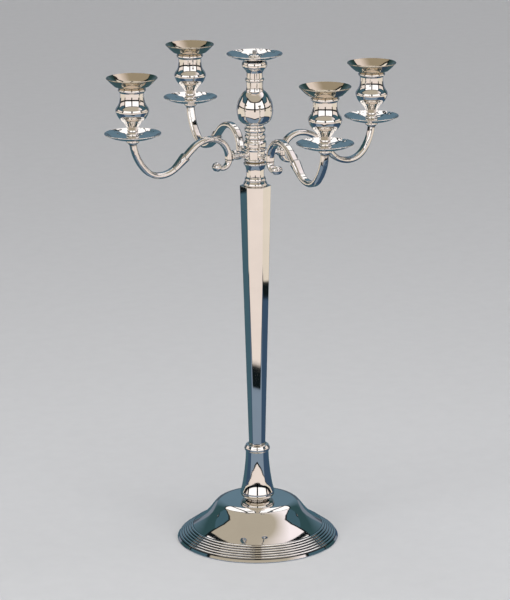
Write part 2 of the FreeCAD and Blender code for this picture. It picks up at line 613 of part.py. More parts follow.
# Branches: turn on the spigot.
build_hub()
for label, name in (("column_rings", "rings"), ("column_beads", "beads"), ("column_bulb", "bulb"),
                    ("column_neck", "neck"), ("column_bowl", "bowl")):
    turned(label, name)
turned("centre_tray", "tray", level="Sizes.centre_tray_level")
turned("centre_boss", "boss", level="Sizes.centre_tray_level + Sizes.tray_floor")
cylinder("centre_rod", "Sizes.centre_rod_radius", "Sizes.centre_rod_start",
         "Sizes.centre_rod_end - Sizes.centre_rod_start")
for side, angle in ARMS.items():
    tip = "Sizes.tip_level + Sizes.tip_height - Sizes.%s_droop" % side
    build_bar(side, angle)
    build_arm(side, angle)
    turned("tray_" + side, "tray", angle, "Sizes.reach", tip)
    on_tray = tip + " + Sizes.tray_floor"
    turned("cup_collar_" + side, "collar", angle, "Sizes.reach", on_tray)
    on_collar = on_tray + " + Sizes.collar_height"
    turned("cup_" + side, "cup", angle, "Sizes.reach", on_collar)
    turned("cup_screw_" + side, "screw", angle, "Sizes.reach", on_collar)
    turned("nozzle_" + side, "nozzle", angle, "Sizes.reach", on_collar)

doc.recompute()
PIECES = [item for item in doc.Objects if is_piece(item)]
for item in doc.Objects:
    if "Invalid" in item.State or "Error" in item.State:
        raise RuntimeError("%s did not build: %s" % (item.Label, item.State))
for item in PIECES:
    if item.Shape.isNull() or not item.Shape.isValid() or len(item.Shape.Solids) != 1:
        raise RuntimeError("%s is not one valid solid" % item.Label)

os.makedirs("parts", exist_ok=True)
for item in PIECES:
    item.Shape.exportStep("parts/%s.step" % item.Label)
print("%d pieces written" % len(PIECES))
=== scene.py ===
import json
import math
import bpy
import numpy as np
from mathutils import Matrix, Vector


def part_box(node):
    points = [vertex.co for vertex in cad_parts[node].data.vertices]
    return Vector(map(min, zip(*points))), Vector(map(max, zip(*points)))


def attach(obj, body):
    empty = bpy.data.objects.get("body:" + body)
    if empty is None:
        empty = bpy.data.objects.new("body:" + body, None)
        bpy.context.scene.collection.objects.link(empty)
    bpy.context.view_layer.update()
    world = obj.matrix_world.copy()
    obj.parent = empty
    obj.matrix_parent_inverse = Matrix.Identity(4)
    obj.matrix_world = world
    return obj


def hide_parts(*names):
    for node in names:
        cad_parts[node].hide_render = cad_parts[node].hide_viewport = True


# The looks of a four-light plated candelabrum. Blender works in metres; the outlines below are in
# millimetres, which MM turns into metres. Each piece stands where its CAD node does.

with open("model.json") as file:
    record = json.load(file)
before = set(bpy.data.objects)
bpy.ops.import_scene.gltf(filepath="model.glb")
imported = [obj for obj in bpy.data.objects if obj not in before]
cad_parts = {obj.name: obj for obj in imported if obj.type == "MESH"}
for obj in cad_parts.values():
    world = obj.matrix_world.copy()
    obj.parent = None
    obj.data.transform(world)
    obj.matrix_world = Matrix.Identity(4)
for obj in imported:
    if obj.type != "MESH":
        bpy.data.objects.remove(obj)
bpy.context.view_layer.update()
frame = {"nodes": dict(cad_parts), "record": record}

MM = 0.001
NODES = frame["nodes"]
RECORD = frame["record"]
BODY_OF = {node: body for body, nodes in RECORD["behaviour"]["bodies"].items() for node in nodes}
SLOT_OF = {part["node"]: part["material_slot"] for part in RECORD["subparts"]}
ARMS = {"left": 180, "right": 0, "front": 270, "back": 90}

UP = Vector((0.0, 0.0, 1.0))

# Fineness of the meshes. A corner is rounded only past SHARP_TURN, over EDGE_ROUND or the given share of
# the shorter side next to it. Points nearer the axis than ON_AXIS are poles.
ARC_STEP = math.radians(7)
SHARP_TURN = math.radians(22)
EDGE_ROUND = 0.28
EDGE_SHARE = 0.4
EDGE_POINTS = 5
ON_AXIS = 1e-6
FLOOR_SIDES = 96


# ---------------------------------------------------------------- outlines

def ribs(low, high, count, bulge):
    """Half-round ribs, evenly spaced from one (radius, level) to another."""
    points = []
    for step in range(1, count + 1):
        share = step / count
        radius = low[0] + (high[0] - low[0]) * share
        level = low[1] + (high[1] - low[1]) * share
        points.append((radius, level, bulge))
    return points


# Half outlines as (radius, level above the node's lowest point). A third number is the radius of the arc
# that arrives at the point: positive bulges to the right of the way travelled, negative to the left.
RIB_LOW = (97.0, 3.9)
RIB_HIGH = (80.0, 16.1)
RIB_COUNT = 6
FOOT = ([(97.4, 0.0), (98.8, 0.0), (99.4, 0.9, 1.2), RIB_LOW]
        + ribs(RIB_LOW, RIB_HIGH, RIB_COUNT, 2.2)
        + [(79.2, 16.7), (57.6, 36.9, -70.0), (51.2, 44.8, 60.0), (38.0, 49.7, 20.4),
           (4.2, 49.7), (4.2, 48.1), (38.0, 48.1), (50.1, 43.6, -18.8), (56.3, 36.0, -58.4),
           (77.6, 15.1, 71.6), (94.6, 2.7)])
SEAT_RING = [(4.2, 0.0), (12.6, 0.0), (13.0, 0.6, 0.8), (12.6, 1.2, 0.8), (4.2, 1.2)]
SOCKET = [(4.2, 0.0), (14.5, 0.0), (21.1, 6.0, 7.0), (20.8, 9.0, 9.0), (18.0, 20.5, -70.0),
          (14.7, 46.0, -280.0), (14.0, 60.4, -250.0), (14.9, 61.4), (14.9, 66.2, 4.0), (14.2, 67.7),
          (13.6, 68.7), (11.6, 68.7), (11.6, 67.8), (7.25, 67.8), (7.25, 62.8), (4.2, 62.8)]
CAPITAL = [(4.05, 0.0), (14.2, 0.0), (14.0, 3.6, 4.0), (12.6, 6.0), (12.4, 9.4, 4.0), (11.2, 11.2),
           (11.1, 20.0, -30.0), (12.4, 24.0, -12.0), (13.4, 25.8), (9.05, 25.8), (9.05, 5.2), (4.05, 5.2)]
SPIGOT = [(0.0, 0.0), (8.0, 0.0), (9.0, 1.4), (9.0, 20.25), (13.6, 20.25), (13.6, 22.8, 1.6),
          (11.6, 23.3), (6.0, 23.3), (6.0, 33.0), (5.2, 33.8), (0.0, 33.8)]
HUB = [(6.05, 0.0), (12.6, 0.0), (13.2, 2.2, 1.4), (12.2, 3.4), (12.2, 12.8), (13.3, 13.8),
       (13.3, 16.0, 1.6), (2.55, 16.0), (2.55, 10.0), (6.05, 10.0)]
RINGS = [(2.55, 0.0), (12.0, 0.0), (13.6, 2.0), (13.6, 7.4, 12.0), (11.6, 9.4), (11.4, 10.4), (2.55, 10.4)]
BEADS = [(2.55, 0.0), (10.8, 0.0), (12.5, 3.2, 3.4), (10.6, 7.2, 3.6), (10.6, 8.6), (12.8, 11.8, 3.4),
         (11.0, 15.2, 3.4), (11.4, 19.0, -6.0), (2.55, 19.0)]
BULB = [(2.55, 0.0), (13.0, 0.0), (19.6, 5.4, 12.0), (21.8, 18.6, 27.0), (18.2, 31.2, 24.0),
        (12.4, 39.2, 22.0), (11.6, 39.8), (2.55, 39.8)]
NECK = [(2.55, 0.0), (11.0, 0.0), (10.0, 5.4, -16.0), (10.3, 11.2), (11.3, 13.5, 2.2), (9.9, 15.7, 2.2),
        (9.6, 22.2), (2.55, 22.2)]
BOWL = [(2.55, 0.0), (9.9, 0.0), (14.6, 6.2, -12.0), (15.0, 11.2, 8.0), (13.4, 13.6, 4.0), (2.55, 13.6)]
BOSS = [(2.6, 0.0), (8.2, 0.0), (8.2, 1.4, 1.0), (7.0, 2.6), (7.4, 5.0, 2.6), (5.6, 6.6, 3.0), (2.6, 6.6)]
CENTRE_ROD = [(0.0, 0.0), (2.5, 0.0), (2.5, 121.6), (1.6, 122.7, 1.6), (0.0, 123.0, 4.0)]
TIP = [(2.55, 0.0), (5.2, 0.0), (7.4, 2.0, -4.0), (7.4, 4.2, 2.0), (2.55, 4.2)]
TRAY = [(2.6, 0.0), (8.0, 0.0), (16.0, 2.2, -60.0), (27.0, 5.2, 90.0), (33.0, 8.0, -30.0),
        (33.3, 8.9, 0.7), (32.2, 9.0, 0.7), (26.6, 6.5, 30.0), (15.6, 3.4, -90.0), (8.6, 1.3, 60.0),
        (2.6, 1.3)]
COLLAR = [(2.6, 0.0), (8.2, 0.0), (8.2, 1.4, 1.0), (7.0, 2.6), (7.6, 5.2, 3.0), (6.4, 7.8, 3.0),
          (6.6, 9.6), (6.0, 12.0), (2.6, 12.0)]
CUP = [(2.6, 0.0), (6.6, 0.0), (7.4, 4.0, -20.0), (11.3, 9.2), (19.6, 21.4, 22.0), (18.4, 26.4, 6.0),
       (15.1, 32.6, -22.0), (14.3, 44.0, -40.0), (15.8, 45.4), (15.8, 48.6, 2.2), (14.9, 49.2),
       (12.65, 49.2), (12.65, 18.0), (9.0, 12.5), (6.0, 12.5), (6.0, 9.0), (2.6, 9.0)]
NOZZLE = [(0.0, 0.0), (11.6, 0.0), (12.6, 1.0), (12.6, 30.95), (15.4, 30.95), (20.6, 33.3, -12.0),
          (29.4, 41.7, 60.0), (30.0, 42.9, 1.0), (28.9, 43.1, 0.8), (20.0, 34.9, -60.0),
          (12.8, 31.9, 14.0), (11.5, 30.5, 3.0), (11.5, 1.2), (0.0, 1.2)]
SCREW = [(0.0, 0.0), (2.5, 0.0), (2.5, 30.5), (5.2, 30.5), (5.2, 31.9), (3.6, 33.5, 2.4), (0.0, 33.5)]


def arc(start, end, radius):
    """Points after start along the shorter arc to end, bulging right of the way travelled if positive."""
    chord = end - start
    half = chord.length / 2
    size = max(abs(radius), half)
    way = 1 if radius > 0 else -1
    side = Vector((chord.y, -chord.x)).normalized() * way
    centre = (start + end) / 2 - side * math.sqrt(size * size - half * half)
    turn = 2 * math.asin(min(1.0, half / size)) * way
    count = max(2, math.ceil(abs(turn) / ARC_STEP))
    arm = start - centre
    return [centre + Matrix.Rotation(turn * step / count, 2) @ arm for step in range(1, count + 1)]


def trace(outline):
    """Every point of an outline, with its arcs divided."""
    points = [Vector(outline[0][:2])]
    for point in outline[1:]:
        end = Vector(point[:2])
        if len(point) > 2:
            points.extend(arc(points[-1], end, point[2]))
        else:
            points.append(end)
    return points


def curve(first, corner, last, count):
    """Points along the curve that leaves first towards a corner and arrives at last."""
    points = []
    for step in range(count):
        share = step / (count - 1)
        points.append(first * (1 - share) ** 2 + corner * 2 * share * (1 - share) + last * share ** 2)
    return points


def soften(points, size, closed=True):
    """Round every sharp corner over a short length, as polishing does."""
    result = []
    count = len(points)
    for index, corner in enumerate(points):
        before = points[index - 1]
        after = points[(index + 1) % count]
        at_end = not closed and index in (0, count - 1)
        arriving = corner - before
        leaving = after - corner
        if at_end or corner.x < ON_AXIS or arriving.angle(leaving) < SHARP_TURN:
            result.append(corner)
            continue
        reach = min(size, arriving.length * EDGE_SHARE, leaving.length * EDGE_SHARE)
        first = corner - arriving.normalized() * reach
        last = corner + leaving.normalized() * reach
        result.extend(curve(first, corner, last, EDGE_POINTS))
    return result


# ---------------------------------------------------------------- meshes

def make(name, vertices, faces):
    """A smooth-shaded object whose normals are weighted by face area, so that flats stay flat."""
    mesh = bpy.data.meshes.new(name)
    mesh.from_pydata(vertices, [], faces)
    mesh.validate()
    mesh.polygons.foreach_set("use_smooth", [True] * len(mesh.polygons))
    normals = np.zeros((len(mesh.polygons), 3), np.float32)
    areas = np.zeros(len(mesh.polygons), np.float32)
    totals = np.zeros(len(mesh.polygons), np.int32)
    corners = np.zeros(len(mesh.loops), np.int32)
    mesh.polygons.foreach_get("normal", normals.ravel())
    mesh.polygons.foreach_get("area", areas)
    mesh.polygons.foreach_get("loop_total", totals)
    mesh.loops.foreach_get("vertex_index", corners)
    weighted = np.repeat(normals * areas[:, None], totals, axis=0)
    summed = np.zeros((len(mesh.vertices), 3))
    np.add.at(summed, corners, weighted)
    lengths = np.maximum(np.linalg.norm(summed, axis=1), 1e-12)
    mesh.normals_split_custom_set_from_vertices((summed / lengths[:, None]).tolist())
    piece = bpy.data.objects.new(name, mesh)
    bpy.context.scene.collection.objects.link(piece)
    return piece


def loft(name, rings, looped=False):
    """Skin a run of rings of points. One-point rings close to a pole; the last joins the first if looped."""
    vertices = []
    starts = []
    for ring in rings:
        starts.append(len(vertices))
        vertices.extend(ring)
    faces = []
    count = len(rings)
    for index in range(count if looped else count - 1):
        near = rings[index]
        far = rings[(index + 1) % count]
        near_start = starts[index]
        far_start = starts[(index + 1) % count]
        size = max(len(near), len(far))
        for step in range(size):
            following = (step + 1) % size
            if len(near) == 1:
                faces.append((near_start, far_start + following, far_start + step))
            elif len(far) == 1:
                faces.append((near_start + step, near_start + following, far_start))
            else:
                faces.append((near_start + step, near_start + following, far_start + following,
                              far_start + step))
    return make(name, vertices, faces)


def circle(radius, level, count):
    """Points round the Z axis."""
    points = []
    for step in range(count):
        angle = 2 * math.pi * step / count
        points.append((radius * math.cos(angle), radius * math.sin(angle), level))
    return points


def lathe(name, outline, segments):
    """Turn a closed half outline about Z. An outline that touches the axis is closed by poles there."""
    closed = outline[0][0] > 0
    rings = []
    for point in soften(trace(outline), EDGE_ROUND, closed):
        if point.x < ON_AXIS:
            rings.append([(0.0, 0.0, point.y * MM)])
        else:
            rings.append(circle(point.x * MM, point.y * MM, segments))
    return loft(name, rings, looped=closed)


def finish_piece(piece, node, replace=True):
    """Ride the node's body, take its slot and material, and stand for it if asked."""
    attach(piece, BODY_OF[node])
    piece.data.materials.clear()
    piece.data.materials.append(MATERIALS[SLOT_OF[node]])
    if replace:
        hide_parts(node)
    return piece


def turned(node, outline, segments=144):
    """A turned piece in place of a node that stands upright."""
    low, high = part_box(node)
    piece = lathe(node + "_turning", outline, segments)
    piece.location = ((low.x + high.x) / 2, (low.y + high.y) / 2, low.z)
    return finish_piece(piece, node)


# ---------------------------------------------------------------- materials

class Graph:
    """Short forms for adding nodes to a tree."""

    def __init__(self, tree):
        self.tree = tree
        tree.nodes.clear()

    def add(self, kind, **settings):
        node = self.tree.nodes.new("ShaderNode" + kind)
        for name, value in settings.items():
            setattr(node, name, value)
        return node

    def link(self, output, target):
        self.tree.links.new(output, target)

    def math(self, operation, first, second=0.0, clamp=False):
        node = self.add("Math", operation=operation, use_clamp=clamp)
        for socket, value in zip(node.inputs, (first, second)):
            if isinstance(value, (int, float)):
                socket.default_value = value
            else:
                self.link(value, socket)
        return node.outputs[0]

    def noise(self, vector, scale, detail=2.0, roughness=0.5):
        node = self.add("TexNoise")
        node.inputs["Scale"].default_value = scale
        node.inputs["Detail"].default_value = detail
        node.inputs["Roughness"].default_value = roughness
        self.link(vector, node.inputs["Vector"])
        return node.outputs["Fac"]

    def spread(self, value, low, high, new_low, new_high):
        node = self.add("MapRange")
        for socket, number in zip(list(node.inputs)[1:5], (low, high, new_low, new_high)):
            socket.default_value = number
        self.link(value, node.inputs[0])
        return node.outputs[0]

    def ramp(self, value, stops):
        node = self.add("ValToRGB")
        elements = node.color_ramp.elements
        while len(elements) > 1:
            elements.remove(elements[0])
        for index, (place, colour) in enumerate(stops):
            element = elements[0] if index == 0 else elements.new(place)
            element.position = place
            element.color = (*colour, 1.0)
        self.link(value, node.inputs[0])
        return node.outputs[0]

    def mix(self, factor, first, second, blend="MIX"):
        node = self.add("Mix", data_type="RGBA", blend_type=blend)
        for socket, value in zip((node.inputs[0], node.inputs[6], node.inputs[7]), (factor, first, second)):
            if isinstance(value, (int, float)):
                socket.default_value = value
            elif isinstance(value, tuple):
                socket.default_value = (*value, 1.0)
            else:
                self.link(value, socket)
        return node.outputs[2]

    def bump(self, height, strength, distance, previous=None):
        node = self.add("Bump")
        node.inputs["Strength"].default_value = strength
        node.inputs["Distance"].default_value = distance
        self.link(height, node.inputs["Height"])
        if previous is not None:
            self.link(previous, node.inputs["Normal"])
        return node.outputs["Normal"]


def new_material(name):
    """A material with its graph, its shader and the object's own coordinates."""
    material = bpy.data.materials.new(name)
    material.use_nodes = True
    graph = Graph(material.node_tree)
    shader = graph.add("BsdfPrincipled")
    output = graph.add("OutputMaterial")
    graph.link(shader.outputs[0], output.inputs["Surface"])
    place = graph.add("TexCoord").outputs["Object"]
    return material, graph, shader, place


def from_axis(graph, place):
    """How far a point is from the object's own Z axis, and its height, both in metres."""
    split = graph.add("SeparateXYZ")
    graph.link(place, split.inputs[0])
    squares = graph.math("ADD", graph.math("POWER", split.outputs[0], 2.0),
                         graph.math("POWER", split.outputs[1], 2.0))
    return graph.math("SQRT", squares), split.outputs[2]


def ring_lines(graph, place, scale):
    """Fine rings about the object's own Z axis, as spinning and turning leave them."""
    radius, height = from_axis(graph, place)
    joined = graph.add("CombineXYZ")
    graph.link(radius, joined.inputs[0])
    graph.link(height, joined.inputs[2])
    return graph.noise(joined.outputs[0], scale=scale, detail=3.0, roughness=0.6)


# The plate's lightest and darkest tones as shares of its colour, the pointiness below which the plate gets
# painted shade and tarnish and above which it's clean, and how far from a groove's middle the ribs' painted
# shade goes.
BRIGHTER = 1.06
TARNISH_AND_SHADE = 0.12
HOLLOW_POINTINESS = (0.41, 0.49)
RIB_SHADE_WIDTH = (0.08, 0.17)


def rib_groove_shade(graph, place):
    """1 in the hollows between the foot's ribs, which get painted shade, and 0 everywhere else."""
    radius = graph.math("DIVIDE", from_axis(graph, place)[0], MM)
    pitch = (RIB_LOW[0] - RIB_HIGH[0]) / RIB_COUNT
    steps = graph.math("DIVIDE", graph.math("SUBTRACT", RIB_LOW[0], radius), pitch)
    hollow_shade = graph.spread(graph.math("PINGPONG", steps, 0.5), *RIB_SHADE_WIDTH, 1.0, 0.0)
    outside = graph.spread(radius, RIB_HIGH[0] - pitch / 4, RIB_HIGH[0] - pitch / 5, 0.0, 1.0)
    inside = graph.spread(radius, RIB_LOW[0] + pitch / 5, RIB_LOW[0] + pitch / 4, 1.0, 0.0)
    return graph.math("MULTIPLY", hollow_shade, graph.math("MULTIPLY", outside, inside))


def plated(name, colour, rough, wave, lines, shaded_hollows=None):
    """Polished nickel plate: mirror with wiping haze, wavy surface, tool lines, tarnish and painted shade in
    hollows.

    rough is the range of roughness, wave the waviness' fineness and strength, lines the tool lines'
    strength, and the last argument a function that says where else painted shade lies.
    """
    material, graph, shader, place = new_material(name)
    shader.inputs["Metallic"].default_value = 1.0
    haze = graph.noise(place, scale=55.0, detail=4.0, roughness=0.62)
    graph.link(graph.spread(haze, 0.35, 0.75, *rough), shader.inputs["Roughness"])
    bright = tuple(min(1.0, part * BRIGHTER) for part in colour)
    cloud = graph.noise(place, scale=24.0, detail=3.0)
    toned = graph.mix(graph.spread(cloud, 0.35, 0.7, 0.0, 1.0), bright, colour)
    # Creases found by pointiness fade to a near-black copy of the plate: tarnish, and painted shade where
    # creases fall in shade.
    pointiness = graph.add("NewGeometry").outputs["Pointiness"]
    hollow_shade = graph.spread(pointiness, *HOLLOW_POINTINESS, 1.0, 0.0)
    if shaded_hollows is not None:
        hollow_shade = graph.math("MAXIMUM", hollow_shade, shaded_hollows(graph, place))
    dull = tuple(part * TARNISH_AND_SHADE for part in colour)
    graph.link(graph.mix(hollow_shade, toned, dull), shader.inputs["Base Color"])
    wavy = graph.bump(graph.noise(place, scale=wave[0], detail=1.0), wave[1], 0.001)
    lined = graph.bump(ring_lines(graph, place, scale=900.0), lines, 0.00006, previous=wavy)
    graph.link(lined, shader.inputs["Normal"])
    return material


def plain_metal(name, colour, rough, lines):
    """Turned metal with visible tool lines, for the parts that do not show."""
    material, graph, shader, place = new_material(name)
    shader.inputs["Metallic"].default_value = 1.0
    stain = graph.noise(place, scale=120.0, detail=4.0, roughness=0.6)
    dull = tuple(part * 0.7 for part in colour)
    graph.link(graph.mix(graph.spread(stain, 0.4, 0.7, 0.0, 1.0), colour, dull),
               shader.inputs["Base Color"])
    graph.link(graph.spread(stain, 0.3, 0.7, rough, rough + 0.15), shader.inputs["Roughness"])
    graph.link(graph.bump(ring_lines(graph, place, scale=1500.0), lines, 0.0001), shader.inputs["Normal"])
    return material


def rough_iron(name):
    """A painted iron casting: dark, pitted and a little rusty."""
    material, graph, shader, place = new_material(name)
    rust = graph.noise(place, scale=70.0, detail=6.0, roughness=0.65)
    colour = graph.mix(graph.spread(rust, 0.55, 0.72, 0.0, 1.0), (0.035, 0.036, 0.038), (0.13, 0.055, 0.025))
    graph.link(colour, shader.inputs["Base Color"])
    graph.link(graph.spread(rust, 0.3, 0.7, 0.55, 0.85), shader.inputs["Roughness"])
    pits = graph.noise(place, scale=600.0, detail=5.0, roughness=0.7)
    graph.link(graph.bump(pits, 0.6, 0.0004), shader.inputs["Normal"])
    return material


def baize(name):
    """Green felt: matted fibres with a soft sheen."""
    material, graph, shader, place = new_material(name)
    fibre = graph.noise(place, scale=2600.0, detail=6.0, roughness=0.75)
    clump = graph.noise(place, scale=180.0, detail=4.0, roughness=0.6)
    mixed = graph.math("ADD", graph.math("MULTIPLY", fibre, 0.6), graph.math("MULTIPLY", clump, 0.4))
    colour = graph.mix(graph.spread(mixed, 0.35, 0.65, 0.0, 1.0), (0.010, 0.045, 0.028), (0.03, 0.11, 0.07))
    graph.link(colour, shader.inputs["Base Color"])
    graph.link(graph.spread(clump, 0.3, 0.7, 0.86, 0.98), shader.inputs["Roughness"])
    shader.inputs["Sheen Weight"].default_value = 0.5
    graph.link(graph.bump(fibre, 0.7, 0.0003), shader.inputs["Normal"])
    return material


NICKEL = (0.84, 0.81, 0.77)
# The liners' plate is warmer and duller than the rest.
WARM_DULL_NICKEL = (0.62, 0.55, 0.44)
MATERIALS = {
    # The foot's plate also gets painted shade in the grooves between its ribs.
    "plated_foot": plated("nickel_foot", NICKEL, (0.02, 0.07), (26.0, 0.16), 0.06, rib_groove_shade),
    "plated_shaft": plated("nickel_shaft", NICKEL, (0.015, 0.05), (30.0, 0.03), 0.0),
    "plated_turning": plated("nickel_turning", NICKEL, (0.02, 0.06), (60.0, 0.10), 0.05),
    "plated_casting": plated("nickel_casting", NICKEL, (0.04, 0.12), (120.0, 0.28), 0.0),
    "plated_tray": plated("nickel_tray", NICKEL, (0.02, 0.08), (115.0, 0.85), 0.08),
    "plated_liner": plated("nickel_liner", WARM_DULL_NICKEL, (0.03, 0.09), (70.0, 0.30), 0.06),
    "steel": plain_metal("zinc_steel", (0.55, 0.56, 0.57), 0.28, 0.5),
    # The brass is darker than its own colour: aged, and painted shade of the gap where the bearing shows
    # between hub and flange.
    "brass": plain_metal("turned_brass_and_shade", (0.30, 0.24, 0.14), 0.30, 0.5),
    "cast_iron": rough_iron("painted_iron"),
    "felt": baize("green_baize"),
}


# ---------------------------------------------------------------- shaft

SHAFT_EDGE = 1.6
SHAFT_TURN = math.radians(30)
SHAFT_LOW_RADIUS = 10.4
SHAFT_BORE = 6.0
BORE_EDGE = 0.4
# The rounded top edge, as (how far in from the corner, how far down from the top).
SHAFT_TOP = [(0.03, 0.6), (0.12, 0.2), (0.6, 0.0)]


def hexagon(radius, level, edge):
    """A hexagon's corners, each rounded over a short length."""
    corners = []
    for index in range(6):
        angle = SHAFT_TURN + index * math.pi / 3
        corners.append(Vector((radius * math.cos(angle), radius * math.sin(angle))))
    ring = []
    for index, corner in enumerate(corners):
        first = corner + (corners[index - 1] - corner).normalized() * edge
        last = corner + (corners[(index + 1) % 6] - corner).normalized() * edge
        for point in curve(first, corner, last, EDGE_POINTS):
            ring.append((point.x * MM, point.y * MM, level * MM))
    return ring


def build_shaft():
    """The tapering six-sided shaft: thick-walled, with its top edge slightly rounded."""
    low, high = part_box("stem_shaft")
    height = (high.z - low.z) / MM
    top_radius = high.y / MM
    rings = [hexagon(SHAFT_BORE, 0.0, BORE_EDGE)]
    for share in (0.0, 0.25, 0.5, 0.75):
        radius = SHAFT_LOW_RADIUS + (top_radius - SHAFT_LOW_RADIUS) * share
        rings.append(hexagon(radius, height * share, SHAFT_EDGE))
    for inset, drop in SHAFT_TOP:
        rings.append(hexagon(top_radius - inset, height - drop, SHAFT_EDGE))
    rings.append(hexagon(SHAFT_BORE, height, BORE_EDGE))
    piece = loft("stem_shaft_hexagon", rings, looped=True)
    piece.location = (0.0, 0.0, low.z)
    finish_piece(piece, "stem_shaft")


# ---------------------------------------------------------------- arms

BRACKET_REACH = 36.2
ARM_THICK = 7.0
ARM_WIDTH = 10.4
ARM_BEVEL = 2.0
CREST_LEVEL = 509.0
CREST_INNER = 25.0
CREST_OUTER = 36.0
BOW_LEVEL = 472.5
BOW_INNER = 33.0
BOW_LOW = 27.0
BOW_OUTER = 60.0
BOW_SHARE = 0.77
TIP_HEIGHT = 4.2
TIP_LEAN = math.radians(8)
BRACKET_TAIL = 3.0
CURL_RADIUS = 9.3
CURL_END = math.radians(300)
KNOB_RADIUS = 5.6
KNOB_HALF_WIDTH = 6.6
KNOB_FLUTES = 7
LEAF_LENGTH = 20.0
LEAF_POINT = 3.0
LEAF_THICKER = 1.55
LEAF_WIDER = 1.25
ARM_EDGE = 0.9
ARM_EDGE_SHARE = 0.45
ARM_EDGE_POINTS = 4
# How far apart the sections stand along the scroll, the leaf and the curl.
SCROLL_STEP = 1.2
LEAF_STEP = 0.6
CURL_STEP = 0.8
TAIL_SHORTEST = 0.5
CURL_ABOVE_BAR = 2.0
CURL_THINNER = 0.35
CURL_NARROWER = 0.25
LEAF_MOUTH = 0.55
LEAF_SWELLING = 8
LEAF_TAPER = 1.3
LEAF_LEAN_TAPER = 3
KNOB_SHIFT = Vector((2.2, 1.2))
KNOB_ROUNDNESS = 0.8
KNOB_RINGS = 28
KNOB_FLUTE_SIDES = 12
KNOB_FLUTE_DEPTH = 0.11
BAR_START = 9.0
BAR_RADIUS = 3.0
BAR_FLANGE_RADIUS = 4.8
BAR_FLANGE_THICK = 2.4
BAR_SCREW_RADIUS = 1.8
BAR_SCREW_LENGTH = 4.0


def arm_outline(reach, tip_level, bar_level, droop):
    """The arm's middle line in reach and level: up, over the crest, down the bow and up to the tip.

    A drooping arm is the same casting bent down, so its later levels fall in step with their reach.
    Returns the outline and the middle of its straight run, where the leaf starts.
    """
    crest_x = BRACKET_REACH + CREST_INNER
    crest = CREST_LEVEL - droop * crest_x / reach
    tip = Vector((reach, tip_level))
    outer_centre = tip + Vector((-math.cos(TIP_LEAN), math.sin(TIP_LEAN))) * BOW_OUTER
    bow = BOW_LEVEL - droop * BOW_SHARE
    drop = outer_centre.y - (bow + BOW_LOW)
    low_x = outer_centre.x + math.sqrt((BOW_OUTER - BOW_LOW) ** 2 - drop ** 2)
    low_centre = Vector((low_x, bow + BOW_LOW))
    join = outer_centre + (low_centre - outer_centre).normalized() * BOW_OUTER
    crest_centre = Vector((crest_x, crest - CREST_OUTER))
    bow_centre = Vector((low_x, bow + BOW_INNER))
    between = bow_centre - crest_centre
    away = math.atan2(between.y, between.x) + math.acos((CREST_OUTER + BOW_INNER) / between.length)
    out = Vector((math.cos(away), math.sin(away)))
    leave = crest_centre + out * CREST_OUTER
    arrive = bow_centre - out * BOW_INNER
    first = crest - CREST_INNER
    tail = min(bar_level - BRACKET_TAIL, first - TAIL_SHORTEST)
    return [(BRACKET_REACH, tail), (BRACKET_REACH, first), (crest_x, crest, -CREST_INNER),
            (leave.x, leave.y, -CREST_OUTER), (arrive.x, arrive.y), (low_x, bow, BOW_INNER),
            (join.x, join.y, BOW_LOW), (tip.x, tip.y, BOW_OUTER)], (leave + arrive) / 2


def spaced(points, gap):
    """The same line with points a set distance apart."""
    lengths = [0.0]
    for before, after in zip(points, points[1:]):
        lengths.append(lengths[-1] + (after - before).length)
    count = max(2, round(lengths[-1] / gap))
    result = []
    index = 0
    for step in range(count + 1):
        wanted = lengths[-1] * step / count
        while index < len(points) - 2 and lengths[index + 1] < wanted:
            index += 1
        share = (wanted - lengths[index]) / max(lengths[index + 1] - lengths[index], 1e-9)
        result.append(points[index].lerp(points[index + 1], min(1.0, share)))
    return result


def arm_section():
    """The arm's section as (thickness, width) points: an oblong with bevelled and rounded corners."""
    thick = ARM_THICK / 2
    width = ARM_WIDTH / 2
    corners = [(thick, width - ARM_BEVEL), (thick - ARM_BEVEL, width),
               (-thick + ARM_BEVEL, width), (-thick, width - ARM_BEVEL),
               (-thick, -width + ARM_BEVEL), (-thick + ARM_BEVEL, -width),
               (thick - ARM_BEVEL, -width), (thick, -width + ARM_BEVEL)]
    points = [Vector(corner) for corner in corners]
    ring = []
    for index, corner in enumerate(points):
        arriving = corner - points[index - 1]
        leaving = points[(index + 1) % len(points)] - corner
        first = corner - arriving.normalized() * min(ARM_EDGE, arriving.length * ARM_EDGE_SHARE)
        last = corner + leaving.normalized() * min(ARM_EDGE, leaving.length * ARM_EDGE_SHARE)
        ring.extend(curve(first, corner, last, ARM_EDGE_POINTS))
    return ring


def arm_axes(angle):
    """Outwards along an arm, and across it."""
    return Vector((math.cos(angle), math.sin(angle), 0.0)), Vector((-math.sin(angle), math.cos(angle), 0.0))


def middle_of(ring):
    """A one-point ring in the middle of another."""
    return [tuple(sum((Vector(point) for point in ring), Vector()) / len(ring))]


def sweep(name, line, angle, shape):
    """Carry the arm's section along a line in the upright plane at an angle round the stem.

    shape(travelled, total) gives the section's growth in thickness and width at that place, and how far
    its upper and lower edges lean back along the line.
    """
    section = arm_section()
    radial, lateral = arm_axes(angle)
    rings = []
    travelled = 0.0
    total = sum((after - before).length for before, after in zip(line, line[1:]))
    for index, point in enumerate(line):
        before = line[max(0, index - 1)]
        after = line[min(len(line) - 1, index + 1)]
        along = (after - before).normalized()
        if index:
            travelled += (point - before).length
        thicker, wider, lean = shape(travelled, total)
        ring = []
        for thick, width in section:
            shift = lean * (abs(thick) / (ARM_THICK / 2)) ** 2
            flat = point + Vector((-along.y, along.x)) * thick * thicker - along * shift
            place = radial * flat.x + UP * flat.y + lateral * width * wider
            ring.append(tuple(place * MM))
        rings.append(ring)
    return loft(name, [middle_of(rings[0])] + rings + [middle_of(rings[-1])])


